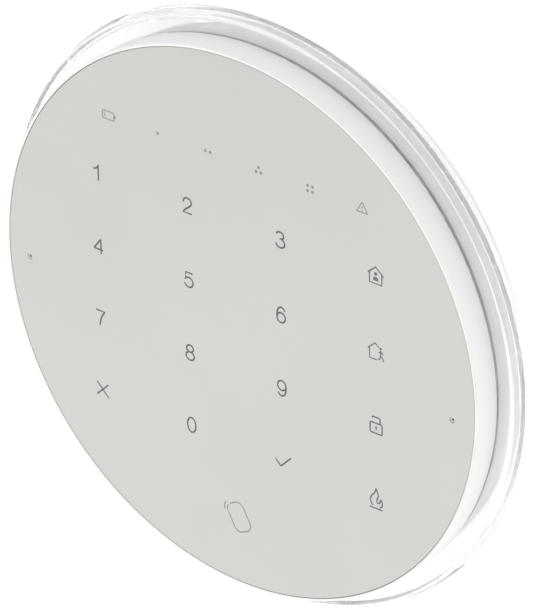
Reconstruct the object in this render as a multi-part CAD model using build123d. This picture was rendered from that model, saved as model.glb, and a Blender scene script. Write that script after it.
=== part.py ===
from build123d import *
import os
from math import acos, atan2, cos, degrees, hypot, radians, sin

# Round wall keypad for an intruder alarm: a flush touch panel in a white front casing, a clear
# skirt round a white rear housing, and a wall plate that the whole keypad twists on to.
# Every piece is drawn with the keypad lying on its back: X to the right, Y up the wall and Z off
# the wall. The last step stands it up, so the panel faces -Y and the wall is the plane Y = 0.
# All sizes are in millimetres.

# Outline
panel_radius = 70.9
panel_play = 0.15        # hairline between the panel and the rim round it
rim_wall = 0.7
casing_side = 7.7        # height of the front casing's side wall
casing_wall = 1.75
ring_overhang = 5.95     # how far the clear skirt stands out past the casing
ring_bevel = 1.4
ring_bevel_drop = 2.7    # the bevel's height, down from the skirt's front face
ring_bevel_bow = 0.35
ring_wall = 1.5
ring_shoulder = 1.2
ring_rear_step = 8.1     # the skirt's rear edge is smaller than its widest circle by this
ring_rear_gap = 0.4      # the skirt's rear edge clears the wall by this
housing_step = 0.25      # the rear housing is smaller than the front casing by this
housing_wall = 1.6
housing_corner = 1.5
ring_clearance = 0.25    # between the rear housing and the inside of the skirt
rim_round = 0.3
casing_back_round = 0.35
seam = 0.1
lip_play = 0.3
lip_wall = 1.5
lip_height = 3.0

# Stack of layers, from the wall to the front of the panel
plate_thickness = 2.0
hanging_gap = 2.6        # room for the wall screws' heads
cover_thickness = 1.2
cover_play = 0.1
cell_play = 0.2
cell_radius = 5.25       # AAA cell
cell_length = 44.5
partition = 0.6
cell_gap = 0.6
board_gap = 0.1
key_board_thickness = 1.0
key_board_inset = 1.5
board_notch_play = 0.4   # between the key board and the bosses it is cut away for
led_gap = 0.4
front_wall = 1.35
glue = 0.05
film_thickness = 0.2
film_inset = 1.0
panel_thickness = 1.4
panel_edge = 0.25

# Keys and lights
key_pitch_x = 28.17
key_pitch_y = 20.0
keys_below_centre = 2.0
key_window = 8.0
status_pitch = 15.25
status_y = 44.5
status_window = 4.0
window_corner = 1.0
guide_play = 0.1
guide_depth = 1.0
led_size = 1.6
led_height = 0.6
pinhole_inset = 6.4
pinhole_below_centre = 2.4
pinhole_radius = 0.45
port_radius = 1.7        # the opening behind each pinhole
light_sensor_size = 2.0
buzzer_size = 9.0
buzzer_corner = 0.6
buzzer_height = 2.4
buzzer_offset = 2.6
buzzer_port_radius = 1.0
buzzer_port_depth = 0.8

# Reader coil behind the fob symbol
coil_y = -51.0
coil_width, coil_height = 40.0, 22.0
coil_track = 4.0
coil_thickness = 0.2
ferrite_margin = 1.0
ferrite_thickness = 0.3

# Wall plate and twist lock
plate_inset = 2.8        # from the skirt's rear edge in to the wall plate's edge
plate_edge = 0.5
twist_angle = 12.0
stud_inset = 15.5
stud_radius = 1.8
stud_head_radius = 3.4
stud_head_height = 1.5
stud_play = 0.4
entry_play = 0.6
head_gap = 0.2
wall_hole_radius = 2.25
wall_holes_across = 60.0
wall_holes_up = 83.5
stiffener_inset = 2.3
stiffener_width = 1.5
stiffener_height = 1.4
pad_radius = 5.5
rib_width = 1.6
relief_depth = 0.8
relief_inner = 26.0
relief_rim = 1.0
slot_border = 2.0

# Screws and bosses
boss_inset = 6.0
boss_radius = 3.2
main_boss_radius = 2.6
screw_radius = 1.25
screw_play = 0.05
screw_head_radius = 2.4
screw_head_height = 1.6
screw_head_play = 0.3
screw_round = 0.5
cross_length = 2.6
cross_width = 0.6
cross_depth = 0.9
screw_sink = 3.0
screw_tip_room = 0.6     # hole left beyond a screw's tip
casing_screw_bite = 4.6
main_screw_length = 5.5
stake_radius = 1.0
stake_play = 0.15
stake_head_radius = 1.8
stake_head_height = 0.6

# Main board and what it carries
main_board_thickness = 1.2
main_board_headroom = 3.4
main_board_low = 32.5
main_board_half_width = 44.0
main_board_inset = 9.5
shield_width, shield_height = 19.0, 14.0
shield_rise = 2.4
shield_sheet = 0.3
shield_corner = 0.8
shield_x, shield_y = 20.0, 43.0
radio_chip_size = 6.0
controller_size = 10.0
controller_rise = 1.2
controller_x, controller_y = -4.0, 46.0
reader_size = 5.0
reader_x, reader_y = -30.0, 41.0
small_chip_rise = 0.9
connector_length, connector_width = 24.0, 4.6
connector_socket_rise = 2.0
connector_lip = 0.6
connector_x, connector_y = -3.0, 35.5
antenna_foot_inset = 7.7
antenna_edge = 1.5       # from the antenna's wire out to the board's edge
antenna_wire_radius = 0.4
antenna_rise = 2.0
switch_size = 7.0
switch_height = 2.8
switch_corner = 0.5
switch_back_wall = 0.4
switch_bite = 0.6        # how far a plunger's or button's stem reaches into its switch
tamper_x, tamper_y = 24.0, 41.6
tamper_stem_radius = 1.5
tamper_collar_radius = 2.8
tamper_collar_height = 0.6
tamper_proud = 1.0       # the plunger stands out past the wall plane by this
tamper_slot_play = 0.7
tamper_tip_round = 0.6
tamper_spring_wire = 0.35
tamper_spring_play = 0.3
tamper_spring_turns = 3
spring_end_gap = 0.02
pairing_x, pairing_y = -20.0, 41.0
pairing_radius = 2.4
pairing_flange = 0.8
pairing_flange_height = 0.6
pairing_sink = 0.3
pairing_round = 0.4
plunger_play = 0.2

# Battery pocket
pocket_y = -6.0
contact_depth = 2.6
contact_thickness = 0.4
contact_size = 8.6
contact_corner = 1.0
contact_cone_radius = 3.0
contact_spring_radius = 2.8
contact_spring_wire = 0.6
contact_spring_turns = 2
contact_spring_sink = 0.2
nub_radius = 1.9
nub_height = 0.8
cell_round = 0.5
pocket_wall = 1.2
ledge = 2.2
cover_edge_play = 0.25
tongue_length = 6.0
tongue_reach = 1.4
tongue_thickness = 0.6
tongue_root = 1.0
cover_travel = 7.0
cover_corner = 1.5
groove_count = 5
groove_length, groove_width = 14.0, 1.0
groove_depth = 0.5
groove_pitch = 2.2
groove_inset = 5.0
recess_rim = 1.6

# Levels, as heights off the wall
housing_back = plate_thickness + hanging_gap
housing_floor = housing_back + housing_wall
cover_back = housing_back + cover_play
ledge_level = cover_back + cover_thickness + cover_play
cell_axis = ledge_level + cell_play + cell_radius
pocket_top = cell_axis + cell_radius + cell_play
partition_top = pocket_top + partition
key_board_back = partition_top + board_gap
key_board_front = key_board_back + key_board_thickness
front_wall_back = key_board_front + led_gap
front_wall_front = front_wall_back + front_wall
film_back = front_wall_front + glue
panel_back = film_back + film_thickness
body_depth = panel_back + panel_thickness
casing_back = body_depth - casing_side
ring_front = casing_back - seam
ring_widest = ring_front - ring_bevel_drop
ring_flange_back = ring_front - ring_wall
housing_top = ring_flange_back - seam
main_board_front = key_board_back - main_board_headroom
main_board_back = main_board_front - main_board_thickness
switch_back = main_board_back - switch_height
inner_flange = housing_floor + seam

# Radii that follow from the outline
casing_radius = panel_radius + panel_play + rim_wall
casing_inner = casing_radius - casing_wall
ring_radius = casing_radius + ring_overhang
ring_rear_radius = ring_radius - ring_rear_step
housing_radius = casing_radius - housing_step
lip_radius = casing_inner - lip_play
key_board_radius = casing_inner - key_board_inset
film_radius = panel_radius - film_inset
plate_radius = ring_rear_radius - plate_inset
boss_circle = casing_inner - boss_inset
stud_circle = housing_radius - stud_inset
pinhole_x = panel_radius - pinhole_inset

# Places
stud_angles = (45, 135, 225, 315)
boss_angles = (30, 150, 210, 330)
key_places = [
    ((column - 1.5) * key_pitch_x, (1.5 - row) * key_pitch_y - keys_below_centre)
    for row in range(4) for column in range(4)
]
status_places = [((i - 2.5) * status_pitch, status_y) for i in range(6)]
pinhole_places = [(side * pinhole_x, -pinhole_below_centre) for side in (-1, 1)]
boss_places = [(boss_circle * cos(radians(a)), boss_circle * sin(radians(a))) for a in boss_angles]
stake_places = [(x, y) for x in (-30.5, 30.5) for y in (-52.8, 0.0, 52.8)]
main_screw_places = [(-33.0, 36.0), (33.0, 36.0), (0.0, 56.0)]
cell_pitch = 2 * cell_radius + cell_gap
cell_places = [(i - 1.5) * cell_pitch for i in range(4)]
pocket_half_width = 2 * cell_pitch + cell_play
pocket_half_length = cell_length / 2 + contact_depth
recess_half_width = pocket_half_width + ledge
recess_low = pocket_y - pocket_half_length - ledge
cover_top = pocket_y + pocket_half_length + ledge - cover_edge_play
recess_top = cover_top + cover_travel + cover_edge_play
tongue_places = [pocket_y + offset for offset in (-16.0, 2.0)]


# ---------------------------------------------------------------- plain shapes
def disc(radius, low, high, x=0.0, y=0.0):
    return Pos(x, y, low) * Cylinder(radius, high - low, align=(Align.CENTER, Align.CENTER, Align.MIN))


def tube(outer, inner, low, high, x=0.0, y=0.0):
    return disc(outer, low, high, x, y) - disc(inner, low, high, x, y)


def block(x0, x1, y0, y1, low, high):
    return Pos(x0, y0, low) * Box(x1 - x0, y1 - y0, high - low, align=(Align.MIN, Align.MIN, Align.MIN))


def pad(width, height, low, high, x=0.0, y=0.0, corner=0.0):
    outline = RectangleRounded(width, height, corner) if corner else Rectangle(width, height)
    return Pos(x, y, low) * extrude(outline, high - low)


def oval(width, height, low, high, x=0.0, y=0.0):
    return Pos(x, y, low) * extrude(SlotOverall(width, height), high - low)


def on_circle(circle, angle):
    return circle * cos(radians(angle)), circle * sin(radians(angle))


def arc_slot(circle, half_width, start, end, low, high):
    """A slot that follows a circle about the centre, with round ends."""
    section = Plane.XZ * Pos(circle, (low + high) / 2) * Rectangle(2 * half_width, high - low)
    slot = Rot(0, 0, start) * revolve(section, Axis.Z, end - start)
    for angle in (start, end):
        slot += disc(half_width, low, high, *on_circle(circle, angle))
    return slot


def spring(radius, wire, low, high, turns):
    """A round wire coil standing between two levels, its ends inside them."""
    height = high - low - wire
    path = Helix(height / turns, height, radius)
    section = Plane(path @ 0, z_dir=path % 0) * Circle(wire / 2)
    return Pos(0, 0, low + wire / 2) * sweep(section, path, is_frenet=True)


def cross_screw(length):
    """A pan-head screw pointing up, its head's underside at level 0."""
    screw = disc(screw_head_radius, -screw_head_height, 0) + disc(screw_radius, 0, length)
    screw = fillet(screw.edges().sort_by(Axis.Z)[0], screw_round)
    screw = chamfer(screw.edges().sort_by(Axis.Z)[-1], screw_round)
    for turn in (0, 90):
        screw -= Rot(0, 0, turn) * pad(cross_length, cross_width, -screw_head_height,
                                       cross_depth - screw_head_height)
    return screw


# ---------------------------------------------------------------- wall plate
def wall_plate():
    plate = disc(plate_radius, 0, plate_thickness)
    plate = chamfer(plate.edges().filter_by(GeomType.CIRCLE).sort_by(Axis.Z)[-1], plate_edge)
    hole_places = [(side * wall_holes_across / 2, 0) for side in (-1, 1)]
    hole_places += [(0, side * wall_holes_up / 2) for side in (-1, 1)]
    plunger_circle = hypot(tamper_x, tamper_y)
    plunger_angle = degrees(atan2(tamper_y, tamper_x))
    slot_half = tamper_stem_radius + tamper_slot_play

    # The back is relieved between ribs, so it beds on the wall at its middle, rim and fixings.
    relief = tube(plate_radius - stiffener_inset - relief_rim, relief_inner, 0, relief_depth)
    for turn in (22.5, 67.5, 112.5, 157.5):
        relief -= Rot(0, 0, turn) * pad(2 * plate_radius, rib_width, 0, relief_depth)
    for x, y in hole_places:
        relief -= disc(pad_radius, 0, relief_depth, x, y)
    for angle in stud_angles:
        relief -= disc(stud_head_radius, 0, relief_depth, *on_circle(stud_circle, angle))
    relief -= arc_slot(plunger_circle, slot_half + slot_border, plunger_angle,
                       plunger_angle + twist_angle, 0, relief_depth)
    plate -= relief

    rim = plate_radius - stiffener_inset
    plate += tube(rim, rim - stiffener_width, plate_thickness, plate_thickness + stiffener_height)
    for x, y in hole_places:
        plate -= disc(wall_hole_radius, 0, plate_thickness, x, y)
    plate -= arc_slot(plunger_circle, slot_half, plunger_angle, plunger_angle + twist_angle,
                      0, plate_thickness)

    head_low = housing_floor + head_gap
    for angle in stud_angles:
        x, y = on_circle(stud_circle, angle)
        head = disc(stud_head_radius, head_low, head_low + stud_head_height, x, y)
        plate += disc(stud_radius, plate_thickness, head_low, x, y)
        plate += chamfer(head.edges().sort_by(Axis.Z)[-1], plate_edge)
    return plate


# ---------------------------------------------------------------- shells
def ring_inside(level):
    """The radius inside the skirt's tapered wall, at a level."""
    slope = ring_rear_step / (ring_widest - ring_rear_gap)
    return ring_rear_radius - ring_wall + slope * (level - ring_rear_gap)


def rear_housing():
    shell = disc(housing_radius, housing_back, housing_top)
    shell = fillet(shell.edges().filter_by(GeomType.CIRCLE).sort_by(Axis.Z)[0], housing_corner)
    skirt_room = Cone(ring_inside(housing_back) - ring_clearance, ring_inside(housing_top) - ring_clearance,
                      housing_top - housing_back, align=(Align.CENTER, Align.CENTER, Align.MIN))
    shell &= Pos(0, 0, housing_back) * skirt_room
    shell -= disc(housing_radius - housing_wall, housing_floor, housing_top)
    shell += tube(lip_radius, lip_radius - lip_wall, housing_floor, housing_top + lip_height)

    # Battery pocket: a thick bed for the sliding cover, and a box over the cells.
    bed_half = recess_half_width + tongue_reach + recess_rim
    bed_high = ledge_level + pocket_wall
    shell += block(-bed_half, bed_half, recess_low - recess_rim, recess_top + recess_rim,
                   housing_floor, bed_high)
    box_half = pocket_half_width + pocket_wall
    box_end = pocket_half_length + pocket_wall
    shell += block(-box_half, box_half, pocket_y - box_end, pocket_y + box_end,
                   bed_high, partition_top)
    shell -= block(-recess_half_width, recess_half_width, recess_low, recess_top,
                   housing_back, ledge_level)
    shell -= block(-pocket_half_width, pocket_half_width,
                   pocket_y - pocket_half_length, pocket_y + pocket_half_length,
                   ledge_level, pocket_top)
    tongue_low = ledge_level - cover_play - tongue_thickness - cover_play
    for side in (-1, 1):
        edges = sorted((side * recess_half_width, side * (recess_half_width + tongue_reach + cover_play)))
        for y in tongue_places:
            start = y - tongue_length / 2 - cover_edge_play
            gate = start + cover_travel
            shell -= block(*edges, start, gate + tongue_length + 2 * cover_edge_play,
                           tongue_low, ledge_level)
            shell -= block(*edges, gate, gate + tongue_length + 2 * cover_edge_play,
                           housing_back, ledge_level)

    for x, y in boss_places:
        shell += disc(boss_radius, housing_floor, housing_top, x, y)
        shell -= disc(screw_head_radius + screw_head_play, housing_back, housing_back + screw_sink, x, y)
        shell -= disc(screw_radius + screw_head_play, housing_back, housing_top, x, y)
    for x, y in main_screw_places:
        shell += disc(main_boss_radius, housing_floor, main_board_back, x, y)
        shell -= disc(screw_radius + screw_play, main_board_back - main_screw_length,
                      main_board_back, x, y)

    # Keyhole slots that turn over the wall plate's studs.
    for angle in stud_angles:
        shell -= arc_slot(stud_circle, stud_radius + stud_play, angle - twist_angle, angle,
                          housing_back, housing_floor)
        shell -= disc(stud_head_radius + entry_play, housing_back, housing_floor,
                      *on_circle(stud_circle, angle - twist_angle))
    shell -= disc(tamper_stem_radius + plunger_play, housing_back, housing_floor, tamper_x, tamper_y)
    shell -= disc(pairing_radius + plunger_play, housing_back, housing_floor, pairing_x, pairing_y)
    return shell


def clear_ring():
    shoulder = ring_flange_back - ring_shoulder
    front = (ring_radius - ring_bevel, ring_front)
    widest = (ring_radius, ring_widest)
    outline = [
        widest,
        (ring_rear_radius, ring_rear_gap),
        (ring_rear_radius - ring_wall, ring_rear_gap),
        (ring_inside(shoulder), shoulder),
        (ring_radius - ring_bevel - ring_wall, ring_flange_back),
        (casing_inner, ring_flange_back),
        (casing_inner, ring_front),
        front,
    ]
    bowed = ((front[0] + widest[0]) / 2 + ring_bevel_bow, (front[1] + widest[1] + ring_bevel_bow) / 2)
    path = Polyline(outline) + ThreePointArc(front, bowed, widest)
    return revolve(Plane.XZ * make_face(path), Axis.Z)


def front_casing():
    shell = disc(casing_radius, casing_back, body_depth)
    shell = fillet(shell.edges().filter_by(GeomType.CIRCLE).sort_by(Axis.Z)[-1], rim_round)
    shell = fillet(shell.edges().filter_by(GeomType.CIRCLE).sort_by(Axis.Z)[0], casing_back_round)
    shell -= disc(panel_radius + panel_play, front_wall_front, body_depth)
    shell -= disc(casing_inner, casing_back, front_wall_back)
    for x, y in key_places:
        shell -= pad(key_window, key_window, front_wall_back, front_wall_front, x, y, window_corner)
    for x, y in status_places:
        shell -= pad(status_window, status_window, front_wall_back, front_wall_front, x, y, window_corner)
    for x, y in pinhole_places:
        shell -= disc(port_radius, front_wall_back, front_wall_front, x, y)
    for x, y in boss_places:
        shell += disc(boss_radius, housing_top + seam, front_wall_back, x, y)
        shell -= disc(screw_radius + screw_play, housing_top + seam,
                      housing_top + casing_screw_bite + screw_tip_room, x, y)
    for x, y in stake_places:
        shell += disc(stake_radius, key_board_back, front_wall_back, x, y)
        shell += disc(stake_head_radius, key_board_back - stake_head_height, key_board_back, x, y)
    return shell


# ---------------------------------------------------------------- panel and lights
def touch_panel():
    panel = disc(panel_radius, panel_back, body_depth)
    panel = fillet(panel.edges().filter_by(GeomType.CIRCLE).sort_by(Axis.Z)[-1], panel_edge)
    for x, y in pinhole_places:
        panel -= disc(pinhole_radius, panel_back, body_depth, x, y)
    return panel


def touch_sensor_film():
    film = disc(film_radius, film_back, panel_back)
    for x, y in pinhole_places:
        film -= disc(port_radius, film_back, panel_back, x, y)
    return film


def light_guides(places, window):
    size = window - 2 * guide_play
    high = front_wall_front - glue
    return Compound([pad(size, size, high - guide_depth, high, x, y, window_corner - guide_play)
                     for x, y in places])


def key_board():
    board = disc(key_board_radius, key_board_back, key_board_front)
    notch_radius = boss_radius + board_notch_play
    for angle in boss_angles:
        for circle in (boss_circle, casing_radius):
            board -= disc(notch_radius, key_board_back, key_board_front, *on_circle(circle, angle))
    for x, y in stake_places:
        board -= disc(stake_radius + stake_play, key_board_back, key_board_front, x, y)
    board -= disc(buzzer_port_radius, key_board_back, key_board_front, *pinhole_places[0])
    return board


def leds(places):
    return Compound([pad(led_size, led_size, key_board_front, key_board_front + led_height, x, y)
                     for x, y in places])


def buzzer():
    x, y = pinhole_places[0]
    case = pad(buzzer_size, buzzer_size, key_board_back - buzzer_height, key_board_back,
               x + buzzer_offset, y, buzzer_corner)
    return case - disc(buzzer_port_radius, key_board_back - buzzer_port_depth, key_board_back, x, y)


def light_sensor():
    return pad(light_sensor_size, light_sensor_size, key_board_front, key_board_front + led_height,
               *pinhole_places[1])


def tag_coil():
    low = key_board_back - coil_thickness
    inside = oval(coil_width - 2 * coil_track, coil_height - 2 * coil_track, low, key_board_back, 0, coil_y)
    return oval(coil_width, coil_height, low, key_board_back, 0, coil_y) - inside


def tag_coil_ferrite():
    high = key_board_back - coil_thickness
    return oval(coil_width + 2 * ferrite_margin, coil_height + 2 * ferrite_margin,
                high - ferrite_thickness, high, 0, coil_y)


# ---------------------------------------------------------------- main board
def main_board():
    top = casing_inner
    board = disc(casing_inner - main_board_inset, main_board_back, main_board_front)
    board &= block(-main_board_half_width, main_board_half_width, main_board_low, top,
                   main_board_back, main_board_front)
    for x, y in main_screw_places:
        board -= disc(screw_radius + screw_head_play, main_board_back, main_board_front, x, y)
    return board


def main_board_screws():
    screw = Rot(180, 0, 0) * cross_screw(main_board_thickness + main_screw_length - screw_tip_room)
    return Compound([Pos(x, y, main_board_front) * screw for x, y in main_screw_places])


def casing_screws():
    head = housing_back + screw_sink
    screw = cross_screw(housing_top + seam + casing_screw_bite - head)
    return Compound([Pos(x, y, head) * screw for x, y in boss_places])


def chip(size, rise, x, y):
    return pad(size, size, main_board_front, main_board_front + rise, x, y)


def radio_shield():
    top = main_board_front + shield_rise
    can = pad(shield_width, shield_height, main_board_front, top, shield_x, shield_y, shield_corner)
    inside = pad(shield_width - 2 * shield_sheet, shield_height - 2 * shield_sheet, main_board_front,
                 top - shield_sheet, shield_x, shield_y, shield_corner - shield_sheet)
    return can - inside


def board_connector():
    socket_top = main_board_front + connector_socket_rise
    socket = pad(connector_length, connector_width, main_board_front, socket_top, connector_x, connector_y)
    plug = pad(connector_length - 2 * connector_lip, connector_width - 2 * connector_lip,
               socket_top, key_board_back, connector_x, connector_y)
    return socket + plug


def radio_antenna():
    circle = casing_inner - main_board_inset - antenna_edge
    level = main_board_front + antenna_rise
    foot = degrees(acos((main_board_half_width - antenna_foot_inset) / circle))
    section = Plane.XZ * Pos(circle, level) * Circle(antenna_wire_radius)
    loop = Rot(0, 0, foot) * revolve(section, Axis.Z, 180 - 2 * foot)
    for angle in (foot, 180 - foot):
        x, y = on_circle(circle, angle)
        loop += Pos(x, y, level) * Sphere(antenna_wire_radius)
        loop += disc(antenna_wire_radius, main_board_front, level, x, y)
    return loop


def push_switch(x, y, bore):
    body = pad(switch_size, switch_size, switch_back, main_board_back, x, y, switch_corner)
    return body - disc(bore, switch_back, main_board_back - switch_back_wall, x, y)


def tamper_plunger():
    stem = disc(tamper_stem_radius, -tamper_proud, switch_back + switch_bite, tamper_x, tamper_y)
    stem = fillet(stem.edges().sort_by(Axis.Z)[0], tamper_tip_round)
    return stem + disc(tamper_collar_radius, inner_flange, inner_flange + tamper_collar_height,
                       tamper_x, tamper_y)


def tamper_spring():
    low = inner_flange + tamper_collar_height + spring_end_gap
    radius = tamper_stem_radius + tamper_spring_play + tamper_spring_wire / 2
    coil = spring(radius, tamper_spring_wire, low, switch_back - spring_end_gap, tamper_spring_turns)
    return Pos(tamper_x, tamper_y, 0) * coil


def pairing_button():
    flange_top = inner_flange + pairing_flange_height
    cap = disc(pairing_radius, housing_back + pairing_sink, flange_top, pairing_x, pairing_y)
    cap = fillet(cap.edges().sort_by(Axis.Z)[0], pairing_round)
    cap += disc(pairing_radius + pairing_flange, inner_flange, flange_top, pairing_x, pairing_y)
    return cap + disc(tamper_stem_radius, flange_top, switch_back + switch_bite, pairing_x, pairing_y)


# ---------------------------------------------------------------- battery
def battery_cell(index):
    """One cell, its nub up the keypad on even places and down on odd ones."""
    low = -cell_length / 2
    cell = disc(cell_radius, low, low + cell_length - nub_height)
    cell = fillet(cell.edges().filter_by(GeomType.CIRCLE), cell_round)
    cell += disc(nub_radius, low + cell_length - nub_height, low + cell_length)
    turn = -90 if index % 2 == 0 else 90
    return Pos(cell_places[index], pocket_y, cell_axis) * Rot(turn, 0, 0) * cell


def contact_places(positive):
    """Where each contact plate stands and which way it faces along Y."""
    places = []
    for index, x in enumerate(cell_places):
        nub_end = 1 if index % 2 == 0 else -1
        end = nub_end if positive else -nub_end
        places.append((x, pocket_y + end * pocket_half_length, end))
    return places


def battery_contacts(positive):
    pieces = []
    gap = contact_depth - contact_thickness
    for x, y, end in contact_places(positive):
        stand = Pos(x, y, cell_axis) * Rot(90 * end, 0, 0)
        plate = pad(contact_size, contact_size, 0, contact_thickness, 0, 0, contact_corner)
        if positive:
            plate += Pos(0, 0, contact_thickness) * Cone(
                contact_cone_radius, nub_radius, gap, align=(Align.CENTER, Align.CENTER, Align.MIN))
        else:
            plate += spring(contact_spring_radius, contact_spring_wire,
                            contact_thickness - contact_spring_sink, contact_thickness + gap,
                            contact_spring_turns)
        pieces.append(stand * plate)
    return Compound(pieces)


def battery_cover():
    half = recess_half_width - cover_edge_play
    low = recess_low + cover_edge_play
    high = ledge_level - cover_play
    cover = pad(2 * half, cover_top - low, cover_back, high, 0, (cover_top + low) / 2, cover_corner)
    for side in (-1, 1):
        edges = sorted((side * (half - tongue_root), side * (recess_half_width + tongue_reach - cover_play)))
        for y in tongue_places:
            cover += block(*edges, y - tongue_length / 2, y + tongue_length / 2,
                           high - tongue_thickness, high)
    for groove in range(groove_count):
        y = cover_top - groove_inset - groove_pitch * groove
        cover -= pad(groove_length, groove_width, cover_back, cover_back + groove_depth, 0, y)
    return cover


# ---------------------------------------------------------------- build and write
pieces = {
    "wall_plate": wall_plate(),
    "rear_housing": rear_housing(),
    "clear_ring": clear_ring(),
    "front_casing": front_casing(),
    "touch_panel": touch_panel(),
    "touch_sensor_film": touch_sensor_film(),
    "key_light_guides": light_guides(key_places, key_window),
    "status_light_guides": light_guides(status_places, status_window),
    "key_board": key_board(),
    "key_leds": leds(key_places),
    "status_leds": leds(status_places),
    "light_sensor": light_sensor(),
    "buzzer": buzzer(),
    "tag_coil": tag_coil(),
    "tag_coil_ferrite": tag_coil_ferrite(),
    "main_board": main_board(),
    "main_board_screws": main_board_screws(),
    "casing_screws": casing_screws(),
    "controller_chip": chip(controller_size, controller_rise, controller_x, controller_y),
    "radio_chip": chip(radio_chip_size, small_chip_rise, shield_x, shield_y),
    "radio_shield": radio_shield(),
    "radio_antenna": radio_antenna(),
    "tag_reader_chip": chip(reader_size, small_chip_rise, reader_x, reader_y),
    "board_connector": board_connector(),
    "tamper_switch": push_switch(tamper_x, tamper_y, tamper_stem_radius + plunger_play),
    "tamper_plunger": tamper_plunger(),
    "tamper_spring": tamper_spring(),
    "pairing_switch": push_switch(pairing_x, pairing_y, tamper_stem_radius + plunger_play),
    "pairing_button": pairing_button(),
    "battery_contacts_positive": battery_contacts(True),
    "battery_contacts_negative": battery_contacts(False),
    "battery_cover": battery_cover(),
}
for index in range(4):
    pieces[f"battery_cell_{index + 1}"] = battery_cell(index)

os.makedirs("parts", exist_ok=True)
stand_up = Rot(90, 0, 0)
for name, piece in pieces.items():
    export_step(stand_up * piece, f"parts/{name}.step")
    print(f"{name:28s} {piece.volume:10.1f} mm3")
print(f"depth {body_depth:.2f}  ring diameter {2 * ring_radius:.1f}")
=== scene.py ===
import bpy
from math import cos, pi, radians, sin
from mathutils import Matrix, Vector


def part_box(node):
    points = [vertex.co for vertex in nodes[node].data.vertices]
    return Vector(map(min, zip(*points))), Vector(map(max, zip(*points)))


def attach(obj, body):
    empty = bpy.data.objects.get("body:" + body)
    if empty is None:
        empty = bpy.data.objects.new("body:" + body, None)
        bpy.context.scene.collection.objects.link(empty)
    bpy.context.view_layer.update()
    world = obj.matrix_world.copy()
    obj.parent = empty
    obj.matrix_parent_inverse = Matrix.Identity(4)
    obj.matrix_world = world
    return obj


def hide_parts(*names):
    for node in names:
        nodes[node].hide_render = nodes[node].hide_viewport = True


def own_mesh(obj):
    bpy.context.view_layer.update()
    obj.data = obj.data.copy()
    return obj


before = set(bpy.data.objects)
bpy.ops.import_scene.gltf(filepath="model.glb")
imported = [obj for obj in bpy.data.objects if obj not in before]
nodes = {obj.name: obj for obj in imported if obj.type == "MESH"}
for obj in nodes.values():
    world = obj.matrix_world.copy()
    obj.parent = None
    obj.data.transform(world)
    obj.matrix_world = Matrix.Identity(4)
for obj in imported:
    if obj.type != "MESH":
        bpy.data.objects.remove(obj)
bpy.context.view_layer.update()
bpy.ops.object.select_all(action="DESELECT")


# ---- Touch panel -------------------------------------------------------------------------
# One disc of acrylic, 1.4 mm thick, printed grey on its back so the face has a soft satin
# depth. It is cut with a softened edge and has two pinholes, each with a small dimple.
def mm(*values):
    """Millimetres to metres: one number, or several as a tuple."""
    scaled = tuple(value / 1000 for value in values)
    return scaled[0] if len(scaled) == 1 else scaled


def edit_only(piece):
    """Makes this the one selected piece and opens it for editing with nothing in it selected."""
    bpy.ops.object.select_all(action="DESELECT")
    piece.select_set(True)
    bpy.context.view_layer.objects.active = piece
    bpy.ops.object.mode_set(mode="EDIT")
    bpy.ops.mesh.select_mode(type="VERT")
    bpy.ops.mesh.select_all(action="DESELECT")


def select_where(piece, kind, wanted):
    """Selects the verts, edges or faces whose middle passes the test, in edit mode."""
    bpy.ops.mesh.select_mode(type=kind)
    bpy.ops.object.mode_set(mode="OBJECT")
    mesh = piece.data
    parts = {"VERT": mesh.vertices, "EDGE": mesh.edges, "FACE": mesh.polygons}[kind]
    for part in parts:
        corners = [part.index] if kind == "VERT" else part.vertices
        middle = sum((mesh.vertices[i].co for i in corners), Vector()) / len(corners)
        part.select = bool(wanted(middle))
    bpy.ops.object.mode_set(mode="EDIT")


def finish_piece(piece, name, body, material, smooth_angle=30):
    """Names a piece, smooths it, settles its place into its mesh and lets it ride on its body."""
    if bpy.context.mode != "OBJECT":
        bpy.ops.object.mode_set(mode="OBJECT")
    bpy.ops.object.select_all(action="DESELECT")
    piece.select_set(True)
    bpy.context.view_layer.objects.active = piece
    bpy.ops.object.transform_apply(location=True, rotation=True, scale=True)
    bpy.ops.object.shade_smooth_by_angle(angle=radians(smooth_angle))
    piece.name = piece.data.name = name
    piece.data.materials.clear()
    piece.data.materials.append(material)
    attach(piece, body)
    piece.select_set(False)
    return piece


def add_node(material, kind, **sockets):
    """A node with its inputs set by name; spaces in a name are written as underscores."""
    node = material.node_tree.nodes.new(kind)
    for name, value in sockets.items():
        node.inputs[name.replace("_", " ")].default_value = value
    return node


def start_material(name, **sockets):
    """A material whose shader has the given fixed values."""
    material = bpy.data.materials.new(name)
    material.use_nodes = True
    shader = material.node_tree.nodes["Principled BSDF"]
    for socket, value in sockets.items():
        shader.inputs[socket.replace("_", " ")].default_value = value
    return material, shader


def noise_over(material, size, detail=2.0, stretch=(1, 1, 1)):
    """Noise in the piece's own space, its lumps about this size in millimetres."""
    links = material.node_tree.links
    place = add_node(material, "ShaderNodeTexCoord")
    mapping = add_node(material, "ShaderNodeMapping", Scale=stretch)
    noise = add_node(material, "ShaderNodeTexNoise", Scale=1000 / size, Detail=detail)
    links.new(place.outputs["Object"], mapping.inputs["Vector"])
    links.new(mapping.outputs["Vector"], noise.inputs["Vector"])
    return noise


def vary_colour(material, shader, noise, dark, light):
    """The base colour wanders between two close colours."""
    ramp = add_node(material, "ShaderNodeValToRGB")
    ramp.color_ramp.elements[0].position, ramp.color_ramp.elements[0].color = 0.35, (*dark, 1)
    ramp.color_ramp.elements[1].position, ramp.color_ramp.elements[1].color = 0.65, (*light, 1)
    material.node_tree.links.new(noise.outputs["Fac"], ramp.inputs["Fac"])
    material.node_tree.links.new(ramp.outputs["Color"], shader.inputs["Base Color"])


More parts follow.
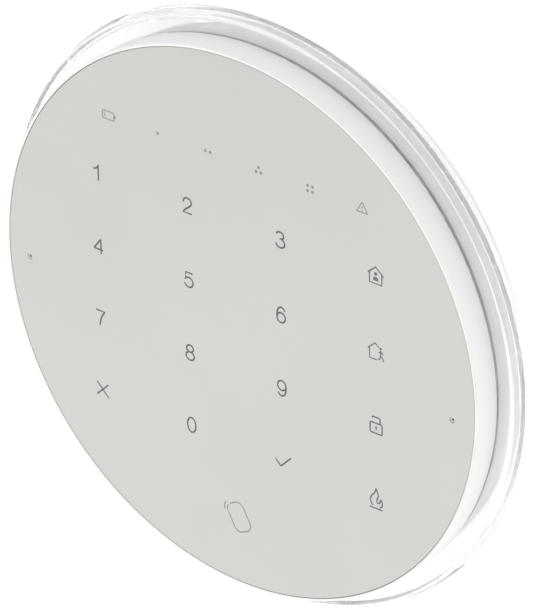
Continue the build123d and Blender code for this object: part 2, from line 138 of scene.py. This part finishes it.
def vary_roughness(material, shader, noise, low, high):
    spread = add_node(material, "ShaderNodeMapRange", From_Min=0.3, From_Max=0.7, To_Min=low, To_Max=high)
    material.node_tree.links.new(noise.outputs["Fac"], spread.inputs["Value"])
    material.node_tree.links.new(spread.outputs["Result"], shader.inputs["Roughness"])


def add_relief(material, shader, noise, height, strength=1.0):
    """A bump of this height in millimetres."""
    bump = add_node(material, "ShaderNodeBump", Strength=strength, Distance=mm(height))
    material.node_tree.links.new(noise.outputs["Fac"], bump.inputs["Height"])
    material.node_tree.links.new(bump.outputs["Normal"], shader.inputs["Normal"])


def shade(level, warmth=0.0):
    """A near-neutral colour; warmth lifts red and lowers blue a little."""
    return (level * (1 + warmth), level, level * (1 - warmth))


panel_low, panel_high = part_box("touch_panel")
panel_radius = panel_high.x
ink_thickness = mm(0.02)
panel_face = panel_low.y + ink_thickness
pinhole_places = [(side * mm(64.5), mm(-2.4)) for side in (-1, 1)]

printed_acrylic, shader = start_material("printed_acrylic", Coat_Weight=0.35, Coat_Roughness=0.22,
                                         Specular_IOR_Level=0.35)
vary_colour(printed_acrylic, shader, noise_over(printed_acrylic, 60), (0.545, 0.547, 0.522),
            (0.56, 0.562, 0.537))
vary_roughness(printed_acrylic, shader, noise_over(printed_acrylic, 4, 3), 0.46, 0.54)
add_relief(printed_acrylic, shader, noise_over(printed_acrylic, 0.12), 0.004, 0.35)

bpy.ops.mesh.primitive_cylinder_add(
    vertices=288, radius=panel_radius, depth=panel_high.y - panel_face,
    location=(0, (panel_high.y + panel_face) / 2, 0), rotation=(pi / 2, 0, 0))
panel = bpy.context.object
bpy.ops.object.transform_apply(location=True, rotation=True, scale=True)
edit_only(panel)
select_where(panel, "EDGE", lambda middle: middle.y < panel_face + mm(0.01))
bpy.ops.mesh.bevel(offset=mm(0.25), segments=4, affect="EDGES")
bpy.ops.object.mode_set(mode="OBJECT")
for x, z in pinhole_places:
    for radius, depth in ((mm(0.36), mm(4)), (mm(0.85), mm(0.5))):
        bpy.ops.mesh.primitive_cylinder_add(vertices=32, radius=radius, depth=depth,
                                            location=(x, panel_face, z), rotation=(pi / 2, 0, 0))
        drill = bpy.context.object
        cut = panel.modifiers.new("pinhole", "BOOLEAN")
        cut.object, cut.operation, cut.solver = drill, "DIFFERENCE", "EXACT"
        bpy.context.view_layer.objects.active = panel
        bpy.ops.object.modifier_apply(modifier=cut.name)
        bpy.data.objects.remove(drill)
finish_piece(panel, "panel_face", "keypad", printed_acrylic)
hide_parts("touch_panel")


# ---- Printed marks -----------------------------------------------------------------------
# The key legends and lamp symbols, screen printed in grey ink on the panel. Each is drawn
# as strokes of one width round its key's centre, with x to the right and z up, in mm.
def arc(x, z, radius_x, radius_z, start, end):
    """Points along part of an ellipse, in degrees, a point every ten or so."""
    steps = max(2, round(abs(end - start) / 9))
    turns = [radians(start + (end - start) * i / steps) for i in range(steps + 1)]
    return [(x + radius_x * cos(t), z + radius_z * sin(t)) for t in turns]


def rounded_box(width, height, corner):
    """A closed outline with round corners, starting at the top right and going anticlockwise."""
    points = []
    for quarter, (side, end) in enumerate(((1, 1), (-1, 1), (-1, -1), (1, -1))):
        points += arc(side * (width / 2 - corner), end * (height / 2 - corner), corner, corner,
                      90 * quarter, 90 * quarter + 90)
    return points + points[:1]


def soft_path(points, steps=5):
    """A smooth line through the points."""
    smooth = []
    ends = [points[0], *points, points[-1]]
    for a, b, c, d in zip(ends, ends[1:], ends[2:], ends[3:]):
        for i in range(steps):
            t = i / steps
            smooth.append(tuple(
                0.5 * (2 * q + (r - p) * t + (2 * p - 5 * q + 4 * r - s) * t * t
                       + (3 * q - p - 3 * r + s) * t ** 3)
                for p, q, r, s in zip(a, b, c, d)))
    return smooth + [points[-1]]


def turned_by(points, degrees, x=0.0, z=0.0):
    c, s = cos(radians(degrees)), sin(radians(degrees))
    return [(x + c * px - s * pz, z + s * px + c * pz) for px, pz in points]


def print_mark(name, place, strokes, dots=(), width=0.46, ink=None):
    """Lays strokes and round dots of ink on the panel as one thin piece."""
    line = bpy.data.curves.new(name, "CURVE")
    line.dimensions = "3D"
    line.bevel_depth = mm(width) / 2
    line.bevel_resolution = 2
    line.use_fill_caps = True
    for stroke in strokes:
        closed = stroke[0] == stroke[-1]
        spline = line.splines.new("POLY")
        points = stroke[:-1] if closed else stroke
        spline.points.add(len(points) - 1)
        for point, (x, z) in zip(spline.points, points):
            point.co = (mm(x), 0, mm(z), 1)
        spline.use_cyclic_u = closed
    mark = bpy.data.objects.new(name, line)
    bpy.context.collection.objects.link(mark)
    mark.select_set(True)
    bpy.context.view_layer.objects.active = mark
    bpy.ops.object.convert(target="MESH")
    mark = bpy.context.object
    discs = []
    for x, z, radius in dots:
        bpy.ops.mesh.primitive_circle_add(vertices=24, radius=mm(radius), fill_type="NGON",
                                          location=(mm(x), -mm(width) / 2, mm(z)), rotation=(pi / 2, 0, 0))
        disc = bpy.context.object
        edit_only(disc)
        bpy.ops.mesh.select_all(action="SELECT")
        bpy.ops.mesh.extrude_region_move(TRANSFORM_OT_translate={"value": (0, mm(width), 0)})
        bpy.ops.mesh.select_all(action="SELECT")
        bpy.ops.mesh.normals_make_consistent(inside=False)
        bpy.ops.object.mode_set(mode="OBJECT")
        bpy.ops.object.transform_apply(location=True, rotation=True, scale=True)
        discs.append(disc)
    for piece in [*discs, mark]:
        piece.select_set(True)
    bpy.context.view_layer.objects.active = mark
    if discs:
        bpy.ops.object.join()
    flat = ink_thickness / mm(width)
    mark.data.transform(Matrix.Diagonal((1, flat, 1, 1)))
    mark.data.transform(Matrix.Translation((mm(place[0]), panel_face - ink_thickness / 2, mm(place[1]))))
    finish_piece(mark, name, "keypad", ink)
    return mark


def make_ink(name, dark, light):
    material, ink_shader = start_material(name, Specular_IOR_Level=0.3)
    vary_colour(material, ink_shader, noise_over(material, 0.5), dark, light)
    vary_roughness(material, ink_shader, noise_over(material, 0.2), 0.5, 0.62)
    add_relief(material, ink_shader, noise_over(material, 0.05), 0.003)
    return material


key_ink = make_ink("key_ink", shade(0.115), shade(0.135))
icon_ink = make_ink("icon_ink", shade(0.13), shade(0.15))
lamp_ink = make_ink("lamp_ink", shade(0.25, 0.01), shade(0.28, 0.01))

key_pitch_x, key_pitch_z = 28.17, 20.0
key_middle_z = -2.0
key_marks = [
    ("1", [[(0.7, -2.15), (0.7, 2.1)], soft_path([(0.7, 1.95), (0.4, 1.35), (-0.15, 0.95), (-0.8, 0.75)])]),
    ("2", [arc(0.13, 0.95, 1.2, 1.12, 188, -28)
           + soft_path([(0.75, -0.15), (-0.35, -0.95), (-1.15, -1.92)]) + [(1.45, -1.92)]]),
    ("3", [arc(-0.02, 1.28, 1.1, 0.92, 165, -72) + [(-0.1, 0.4)]
           + arc(0.05, -0.75, 1.3, 1.18, 88, -172)]),
    ("4", [[(0.85, -2.1), (0.85, 1.9)], [(0.85, 1.9), (-1.35, -0.98)],
           [(-1.35, -0.98), (1.5, -0.98)]]),
    ("5", [[(1.3, 1.98), (-0.75, 1.98), (-1.05, 0.02)] + arc(0.08, -0.62, 1.3, 1.32, 142, -164)]),
    ("6", [arc(0.05, -0.62, 1.25, 1.3, 0, 360), arc(0.12, 0.0, 1.32, 2.18, 38, 196)]),
    ("7", [[(-1.35, 2.0), (1.4, 2.0)] + soft_path([(1.4, 1.95), (0.7, 0.95), (0.15, -0.35), (-0.2, -2.0)])]),
    ("8", [arc(0.03, 1.22, 1.03, 0.95, 0, 360), arc(0.03, -0.82, 1.28, 1.12, 0, 360)]),
    ("9", [arc(0.0, 0.95, 1.25, 1.3, 0, 360), arc(-0.05, 0.3, 1.32, 2.18, 16, -142)]),
    ("0", [arc(0.05, 0.05, 1.28, 2.02, 0, 360)]),
]
key_grid = {str(3 * row + column + 1): (column, row) for row in range(3) for column in range(3)}
key_grid["0"] = (1, 3)


def key_place(column, row):
    return (column - 1.5) * key_pitch_x, key_middle_z + (1.5 - row) * key_pitch_z


for digit, strokes in key_marks:
    print_mark(f"mark_{digit}", key_place(*key_grid[digit]), strokes, ink=key_ink)
print_mark("mark_clear", key_place(0, 3), [[(-1.78, 1.78), (1.85, -1.85)], [(-1.78, -1.85), (1.85, 1.78)]],
           width=0.4, ink=key_ink)
print_mark("mark_enter", key_place(2, 3), [[(-2.2, 0.3), (-0.55, -1.4)], [(-0.55, -1.4), (2.5, 1.8)]],
           width=0.42, ink=key_ink)

roof = [(-2.28, 0.4), (0, 2.35), (2.28, 0.4)]
walls = [(-1.8, 0.75), (-1.8, -2.0), (1.8, -2.0), (1.8, 0.75)]
shoulders = [(-0.62, -1.12), (-0.55, -0.72), (-0.25, -0.42), (0.25, -0.42), (0.55, -0.72), (0.62, -1.12)]
print_mark("mark_stay", key_place(3, 0), [
    roof, walls, shoulders + shoulders[:1], [(-0.3, -0.85), (0.3, -0.85)],
], dots=[(0, 0.55, 0.45)], width=0.42, ink=icon_ink)
print_mark("mark_away", key_place(3, 1), [
    [(-2.3, 0.4), (-0.15, 2.3), (0.95, 1.35)],
    [(-1.85, 0.7), (-1.85, -2.05), (0.3, -2.05)],
    [(1.5, 0.7), (1.4, -0.6), (1.95, -1.1), (2.3, -2.0)],
    [(1.4, -0.6), (1.25, -1.3), (0.8, -1.95)],
    [(0.9, 0.0), (1.45, 0.5), (1.85, 0.1), (2.3, -0.1)],
], dots=[(1.42, 1.2, 0.34)], width=0.36, ink=icon_ink)
print_mark("mark_disarm", key_place(3, 2), [
    turned_by(rounded_box(3.55, 2.75, 0.4), 0, 0.05, -0.6),
    arc(-0.7, 1.95, 0.42, 0.42, 180, 90) + arc(0.8, 1.95, 0.42, 0.42, 90, 0) + [(1.22, 0.8)],
    [(0.05, -0.3), (0.05, -1.0)],
], dots=[(0.05, -0.35, 0.28)], width=0.4, ink=icon_ink)
print_mark("mark_fire", key_place(3, 3), [
    [(-1.88, -2.5), (1.95, -2.5)],
    soft_path([(0.0, 3.0), (-0.4, 1.75), (-1.25, 0.7), (-1.65, -0.45), (-1.4, -1.4), (-0.85, -1.9)]),
    soft_path([(0.0, 3.0), (0.45, 1.95), (0.65, 0.95), (0.3, 0.05), (0.3, -0.7), (0.75, -0.9), (1.25, -0.35),
               (1.45, 0.3), (1.88, -0.55), (1.75, -1.4), (1.1, -2.05)]),
], width=0.38, ink=icon_ink)

lamp_z, lamp_pitch, lamp_shift = 44.5, 15.25, 0.25
lamp_dot = 0.4
lamp_dots = {
    "lamp_area_1": [(0, 0)],
    "lamp_area_2": [(-0.72, 0), (0.72, 0)],
    "lamp_area_3": [(0, 0.68), (-0.7, -0.58), (0.7, -0.58)],
    "lamp_area_4": [(-0.72, 0.68), (0.72, 0.68), (-0.72, -0.68), (0.72, -0.68)],
}


def lamp_place(index):
    return (index - 2.5) * lamp_pitch + lamp_shift, lamp_z


print_mark("lamp_battery", lamp_place(0), [
    rounded_box(3.6, 2.1, 0.35), [(2.1, 0.45), (2.1, -0.45)], [(-1.15, 0.5), (-1.15, -0.5)],
], width=0.3, ink=lamp_ink)
for index, (name, spots) in enumerate(lamp_dots.items(), start=1):
    x0, z0 = spots[0]
    print_mark(name, lamp_place(index), [[(x0 - 0.1, z0), (x0 + 0.1, z0)]],
               dots=[(x, z, lamp_dot) for x, z in spots], width=0.3, ink=lamp_ink)
print_mark("lamp_fault", lamp_place(5), [
    [(0, 1.5), (-1.6, -1.2)], [(-1.6, -1.2), (1.6, -1.2)], [(1.6, -1.2), (0, 1.5)], [(0, 0.5), (0, -0.25)],
], dots=[(0, -0.72, 0.17)], width=0.28, ink=lamp_ink)

fob = rounded_box(5.4, 7.8, 1.9)
fob_open = fob[21:] + fob[1:13]
print_mark("mark_tag", (0.3, -52.7), [
    turned_by(fob_open, 28),
    turned_by(soft_path([(-2.05, 3.0), (-2.65, 2.45), (-2.95, 1.75)]), 28, -0.1, 0.7),
    turned_by(soft_path([(-2.2, 3.65), (-3.05, 2.9), (-3.45, 2.0)]), 28, -0.4, 0.85),
], width=0.32, ink=lamp_ink)


# ---- Front casing ------------------------------------------------------------------------
# The white cup that the panel lies in, moulded in glossy ABS. Its side wall is bare and its
# two edges are softened.
def moulded_white(name, level, gloss, grain_size, grain_height, warmth=0.0):
    """White plastic with a faint mottle, uneven gloss and the fine grain of its mould."""
    material, white_shader = start_material(name)
    vary_colour(material, white_shader, noise_over(material, 35, 3), shade(level * 0.985, warmth),
                shade(level, warmth))
    vary_roughness(material, white_shader, noise_over(material, 3, 4), gloss, gloss + 0.07)
    add_relief(material, white_shader, noise_over(material, grain_size, 3), grain_height)
    return material


def dress(material, *names):
    """Gives carried-over nodes their material."""
    for name in names:
        nodes[name].material_slots[0].material = material


dress(moulded_white("casing_white", 0.83, 0.3, 0.9, 0.0015), "front_casing")


# ---- Clear skirt -------------------------------------------------------------------------
# A ring turned from one outline: a flat flange clamped between the white shells, a rounded
# front edge, and a wall that tapers in towards the wall plate. Polished polycarbonate, drawn
# partly see-through and without a shadow of its own, which keeps the white behind it bright.
def turned_ring(outline, rounding, segments, steps):
    """Draws an outline of (radius, y) points, softens its corners and spins it about Y."""
    bpy.ops.mesh.primitive_plane_add(size=mm(1))
    ring = bpy.context.object
    edit_only(ring)
    bpy.ops.mesh.select_all(action="SELECT")
    bpy.ops.mesh.merge(type="CENTER")
    bpy.ops.transform.translate(value=(*outline[0], 0))
    for before, after in zip(outline, outline[1:]):
        bpy.ops.mesh.extrude_region_move(TRANSFORM_OT_translate={
            "value": (after[0] - before[0], after[1] - before[1], 0)})
    bpy.ops.mesh.select_all(action="SELECT")
    bpy.ops.mesh.edge_face_add()
    bpy.ops.mesh.delete(type="ONLY_FACE")
    bpy.ops.mesh.select_all(action="SELECT")
    bpy.ops.mesh.bevel(affect="VERTICES", offset=rounding, segments=segments)
    bpy.ops.mesh.select_all(action="SELECT")
    bpy.ops.mesh.spin(steps=steps, angle=2 * pi, center=(0, 0, 0), axis=(0, 1, 0))
    bpy.ops.mesh.select_all(action="SELECT")
    bpy.ops.mesh.remove_doubles(threshold=mm(0.002))
    bpy.ops.mesh.normals_make_consistent(inside=False)
    bpy.ops.object.mode_set(mode="OBJECT")
    return ring


ring_low, ring_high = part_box("clear_ring")
ring_radius = ring_high.x
flange_radius, flange_thickness = mm(70.0, 1.5)
edge_slope, edge_depth = mm(1.4, 2.7)
taper, rear_width = mm(8.1, 1.5)
inner_edge_in, inner_edge_depth, inner_corner_in = mm(1.9, 2.9, 2.9)
ring_rounding, ring_steps = mm(0.3), 288
ring_outline = [
    (flange_radius, ring_low.y),
    (ring_radius - edge_slope, ring_low.y),
    (ring_radius, ring_low.y + edge_depth),
    (ring_radius - taper, ring_high.y),
    (ring_radius - taper - rear_width, ring_high.y),
    (ring_radius - inner_edge_in, ring_low.y + inner_edge_depth),
    (ring_radius - inner_corner_in, ring_low.y + flange_thickness),
    (flange_radius, ring_low.y + flange_thickness),
]

clear_plastic, shader = start_material("clear_polycarbonate", Transmission_Weight=1.0, IOR=1.5, Alpha=0.85)
# Painted shade: the colour greys a little where the surface turns edge-on to the eye, standing in for the
# grey lines along the skirt's edges.
edge = add_node(clear_plastic, "ShaderNodeLayerWeight", Blend=0.35)
ramp = add_node(clear_plastic, "ShaderNodeValToRGB")
ramp.color_ramp.elements[0].color = (1, 1, 1, 1)
ramp.color_ramp.elements[1].color = (0.95, 0.955, 0.965, 1)
clear_plastic.node_tree.links.new(edge.outputs["Facing"], ramp.inputs["Fac"])
clear_plastic.node_tree.links.new(ramp.outputs["Color"], shader.inputs["Base Color"])
vary_roughness(clear_plastic, shader, noise_over(clear_plastic, 8, 2), 0.0, 0.02)
add_relief(clear_plastic, shader, noise_over(clear_plastic, 14, 1), 0.01, 0.3)
skirt = turned_ring(ring_outline, ring_rounding, 4, ring_steps)
finish_piece(skirt, "clear_skirt", "keypad", clear_plastic, 50)
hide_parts("clear_ring")
skirt.visible_shadow = False


# ---- Rear housing, wall plate and battery cover ------------------------------------------
# White ABS moulded with a fine spark-eroded grain. The rear housing is painted a brighter white
# than the real moulding: painted light where it shows through the clear skirt, making up for the
# light the skirt holds back. The wall plate and the sliding cover are greyer.
dress(moulded_white("housing_white_painted_bright", 0.95, 0.48, 0.35, 0.006), "rear_housing")
dress(moulded_white("plate_white", 0.66, 0.52, 0.4, 0.02), "wall_plate", "battery_cover")


# ---- Film and light guides ---------------------------------------------------------------
# Behind the panel lies the touch film, pale polyester printed with a grid of silver tracks.
# The light guides are frosted acrylic plugs in the casing's front wall.
def printed_grid(material, shader, **sockets):
    """A grid of tracks across the panel's plane, as the base colour."""
    links = material.node_tree.links
    place = add_node(material, "ShaderNodeTexCoord")
    turn = add_node(material, "ShaderNodeMapping", Rotation=(pi / 2, 0, 0))
    grid = add_node(material, "ShaderNodeTexBrick", **sockets)
    links.new(place.outputs["Object"], turn.inputs["Vector"])
    links.new(turn.outputs["Vector"], grid.inputs["Vector"])
    links.new(grid.outputs["Color"], shader.inputs["Base Color"])
    return grid


film, shader = start_material("touch_film", Roughness=0.35, IOR=1.57)
printed_grid(film, shader, Scale=120, Mortar_Size=0.015, Mortar=(0.42, 0.42, 0.44, 1),
             Color1=(0.62, 0.6, 0.5, 1), Color2=(0.68, 0.66, 0.56, 1))
add_relief(film, shader, noise_over(film, 0.3), 0.002)
dress(film, "touch_sensor_film")

frosted, shader = start_material("frosted_acrylic", Subsurface_Weight=0.3, Subsurface_Radius=mm(1, 1, 1))
vary_colour(frosted, shader, noise_over(frosted, 2), shade(0.8), shade(0.86))
vary_roughness(frosted, shader, noise_over(frosted, 0.3), 0.5, 0.7)
add_relief(frosted, shader, noise_over(frosted, 0.15), 0.01)
dress(frosted, "key_light_guides", "status_light_guides")


# ---- Circuit boards ----------------------------------------------------------------------
# Two glass-fibre boards under green solder resist, with the copper just showing through as a
# grid of slightly raised, lighter tracks. The key board is heat-staked, the main one screwed.
resist, shader = start_material("green_resist", Coat_Weight=0.4, Coat_Roughness=0.15)
copper = printed_grid(resist, shader, Scale=160, Mortar_Size=0.02, Mortar=(0.03, 0.2, 0.08, 1),
                      Color1=(0.012, 0.11, 0.045, 1), Color2=(0.014, 0.12, 0.05, 1))
copper.offset_frequency, copper.squash, copper.squash_frequency = 3, 1.7, 4
vary_roughness(resist, shader, noise_over(resist, 2), 0.3, 0.42)
raised = add_node(resist, "ShaderNodeBump", Strength=0.6, Distance=mm(0.03))
resist.node_tree.links.new(copper.outputs["Fac"], raised.inputs["Height"])
resist.node_tree.links.new(raised.outputs["Normal"], shader.inputs["Normal"])
dress(resist, "key_board", "main_board")


# ---- Parts on the boards -----------------------------------------------------------------
# Chips, buzzer, light sensor and switches are moulded black resin, and the connector is
# cream nylon. The lamps are pale yellow resin. The reader coil is etched copper with a grey
# ferrite sheet, and the radio's can and aerial are tinned steel.
black_resin, shader = start_material("black_resin", Specular_IOR_Level=0.4)
vary_colour(black_resin, shader, noise_over(black_resin, 0.6), shade(0.012), shade(0.02))
vary_roughness(black_resin, shader, noise_over(black_resin, 0.4), 0.5, 0.65)
add_relief(black_resin, shader, noise_over(black_resin, 0.08), 0.008)
dress(black_resin, "controller_chip", "radio_chip", "tag_reader_chip", "buzzer", "light_sensor",
      "tamper_switch", "pairing_switch")

nylon, shader = start_material("connector_nylon", Subsurface_Weight=0.1, Subsurface_Radius=mm(0.5, 0.5, 0.4))
vary_colour(nylon, shader, noise_over(nylon, 3), (0.62, 0.58, 0.47), (0.68, 0.64, 0.53))
vary_roughness(nylon, shader, noise_over(nylon, 0.5), 0.4, 0.55)
add_relief(nylon, shader, noise_over(nylon, 0.2), 0.006)
dress(nylon, "board_connector")

lamp_resin, shader = start_material("lamp_resin", Transmission_Weight=0.15, Coat_Weight=0.3)
vary_colour(lamp_resin, shader, noise_over(lamp_resin, 0.5), (0.78, 0.7, 0.32), (0.85, 0.79, 0.45))
vary_roughness(lamp_resin, shader, noise_over(lamp_resin, 0.3), 0.25, 0.4)
add_relief(lamp_resin, shader, noise_over(lamp_resin, 0.1), 0.004)
dress(lamp_resin, "key_leds", "status_leds")


def metal(name, dark, light, low, high, grain, stretch=(1, 1, 1)):
    """Bare metal with grain along one direction, uneven colour and gloss."""
    bare, metal_shader = start_material(name, Metallic=1.0)
    vary_colour(bare, metal_shader, noise_over(bare, 1.5, 3), dark, light)
    vary_roughness(bare, metal_shader, noise_over(bare, grain, 3, stretch), low, high)
    add_relief(bare, metal_shader, noise_over(bare, grain, 2, stretch), 0.004)
    return bare


dress(metal("etched_copper", (0.62, 0.27, 0.14), (0.75, 0.38, 0.22), 0.3, 0.5, 0.2), "tag_coil")
dress(metal("tinned_steel", shade(0.52), shade(0.62), 0.28, 0.42, 0.25, (1, 1, 8)),
      "radio_shield", "radio_antenna")

ferrite_sheet, shader = start_material("ferrite_sheet", Specular_IOR_Level=0.3)
vary_colour(ferrite_sheet, shader, noise_over(ferrite_sheet, 1.0), shade(0.035), shade(0.055))
vary_roughness(ferrite_sheet, shader, noise_over(ferrite_sheet, 0.5), 0.65, 0.8)
add_relief(ferrite_sheet, shader, noise_over(ferrite_sheet, 0.2), 0.01)
dress(ferrite_sheet, "tag_coil_ferrite")


# ---- Screws, springs and contacts --------------------------------------------------------
# Zinc-plated thread-forming screws, nickel-plated battery contacts, and a wound spring of
# drawn steel wire over the plunger's stem.
dress(metal("zinc_plate", shade(0.42, 0.02), shade(0.58, 0.03), 0.25, 0.4, 0.3),
      "casing_screws", "main_board_screws")
drawn_steel = metal("spring_steel", shade(0.48), shade(0.6), 0.18, 0.32, 0.15, (1, 6, 1))
dress(drawn_steel, "battery_contacts_positive", "battery_contacts_negative")

spring_low, spring_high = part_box("tamper_spring")
spring_middle = (spring_low + spring_high) / 2
spring_height = spring_high.y - spring_low.y
wire, press_travel = mm(0.35, 1.6)
turns, turn_steps = 3, 36
bpy.ops.mesh.primitive_circle_add(vertices=12, radius=wire / 2)
coil = bpy.context.object
edit_only(coil)
bpy.ops.mesh.select_all(action="SELECT")
bpy.ops.transform.translate(value=((spring_high.x - spring_low.x - wire) / 2, 0, 0))
bpy.ops.object.mode_set(mode="OBJECT")
winding = coil.modifiers.new("winding", "SCREW")
winding.axis, winding.iterations = "Y", turns
winding.steps = winding.render_steps = turn_steps
winding.screw_offset = (spring_height - wire) / turns
bpy.ops.object.modifier_apply(modifier="winding")
edit_only(coil)
bpy.ops.mesh.select_all(action="SELECT")
bpy.ops.mesh.remove_doubles(threshold=mm(0.002))
bpy.ops.mesh.fill_holes(sides=0)
bpy.ops.mesh.select_all(action="SELECT")
bpy.ops.mesh.normals_make_consistent(inside=False)
bpy.ops.transform.translate(value=(spring_middle.x, spring_low.y + wire / 2, spring_middle.z))
bpy.ops.object.mode_set(mode="OBJECT")
finish_piece(coil, "plunger_spring", "keypad", drawn_steel, 50)
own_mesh(coil)
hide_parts("tamper_spring")


# ---- Plunger and pairing button ----------------------------------------------------------
# Two acetal mouldings in the rear housing, greyer than the shells and smoother to the touch.
acetal, shader = start_material("grey_acetal", Subsurface_Weight=0.05, Subsurface_Radius=mm(0.4, 0.4, 0.4))
vary_colour(acetal, shader, noise_over(acetal, 4), shade(0.6), shade(0.66))
vary_roughness(acetal, shader, noise_over(acetal, 0.6), 0.32, 0.5)
add_relief(acetal, shader, noise_over(acetal, 0.25), 0.006)
dress(acetal, "tamper_plunger", "pairing_button")


# ---- Battery cells -----------------------------------------------------------------------
# Four AAA cells in a plain dark sleeve with a copper-coloured band at the nub's end, which is
# up on the first and third cell and down on the others. The ends show steel grey.
end_grey, sleeve_black, band_copper = (*shade(0.5), 1), (*shade(0.018), 1), (0.55, 0.27, 0.09, 1)
nub_up_bands = [(0.0, end_grey), (0.012, sleeve_black), (0.74, band_copper), (0.975, end_grey)]
nub_down_bands = [(0.0, end_grey), (0.025, band_copper), (0.26, sleeve_black), (0.988, end_grey)]
for index in range(4):
    cell_low, cell_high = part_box(f"battery_cell_{index + 1}")
    middle = (cell_low + cell_high) / 2
    length = cell_high.z - cell_low.z
    stops = nub_up_bands if index % 2 == 0 else nub_down_bands
    sleeve, shader = start_material(f"cell_sleeve_{index + 1}", Coat_Weight=0.5, Coat_Roughness=0.12)
    place = add_node(sleeve, "ShaderNodeTexCoord")
    along = add_node(sleeve, "ShaderNodeMapping", Location=(0, 0, -middle.z / length + 0.5),
                     Scale=(1 / length, 1 / length, 1 / length))
    height = add_node(sleeve, "ShaderNodeSeparateXYZ")
    bands = add_node(sleeve, "ShaderNodeValToRGB")
    bands.color_ramp.interpolation = "CONSTANT"
    while len(bands.color_ramp.elements) < len(stops):
        bands.color_ramp.elements.new(0.5)
    for element, (position, colour) in zip(bands.color_ramp.elements, stops):
        element.position, element.color = position, colour
    links = sleeve.node_tree.links
    links.new(place.outputs["Object"], along.inputs["Vector"])
    links.new(along.outputs["Vector"], height.inputs["Vector"])
    links.new(height.outputs["Z"], bands.inputs["Fac"])
    links.new(bands.outputs["Color"], shader.inputs["Base Color"])
    vary_roughness(sleeve, shader, noise_over(sleeve, 2), 0.25, 0.35)
    add_relief(sleeve, shader, noise_over(sleeve, 0.4), 0.004)
    dress(sleeve, f"battery_cell_{index + 1}")


# ---- Studio ------------------------------------------------------------------------------
# A white room, evenly lit, with a pale floor well below the keypad. Light may bounce often
# enough to find its way out of the clear skirt, which would otherwise show black streaks.
floor_size, floor_level = 16, -1.5
bpy.ops.mesh.primitive_plane_add(size=floor_size, location=(0, 0, floor_level))
floor = bpy.context.object
floor.name = "floor"
floor_paint, shader = start_material("floor_paint", Base_Color=(0.9, 0.9, 0.9, 1), Roughness=0.9,
                                     Emission_Color=(1, 1, 1, 1), Emission_Strength=0.4)
floor.data.materials.append(floor_paint)

bpy.context.scene.world = bpy.data.worlds.new("studio")
bpy.context.scene.world.use_nodes = True
background = bpy.context.scene.world.node_tree.nodes["Background"]
background.inputs["Color"].default_value = (1, 1, 1, 1)
background.inputs["Strength"].default_value = 1.03
bpy.context.scene.view_settings.view_transform = "Standard"
bounces = 24
for kind in ("max_bounces", "glossy_bounces", "transmission_bounces"):
    setattr(bpy.context.scene.cycles, kind, bounces)

camera_distance, camera_azimuth, camera_elevation, camera_lens = 1.232, 39.64, 29.40, 305.9
camera_roll, off_left, off_down = -0.966, 0.3485, 0.2319
target = Vector((0, panel_low.y, 0))
around, above = radians(camera_azimuth), radians(camera_elevation)
back = Vector((sin(around) * cos(above), -cos(around) * cos(above), sin(above)))
aim = back.to_track_quat("Z", "Y").to_matrix() @ Matrix.Rotation(radians(camera_roll), 3, "Z")
aim = aim @ Matrix.Rotation(radians(-off_left), 3, "Y") @ Matrix.Rotation(radians(off_down), 3, "X")
camera = bpy.data.objects.new("camera", bpy.data.cameras.new("camera"))
bpy.context.collection.objects.link(camera)
camera.data.lens = camera_lens
camera.data.clip_start, camera.data.clip_end = 0.05, 50
camera.matrix_world = Matrix.Translation(target + back * camera_distance) @ aim.to_4x4()
bpy.context.scene.camera = camera
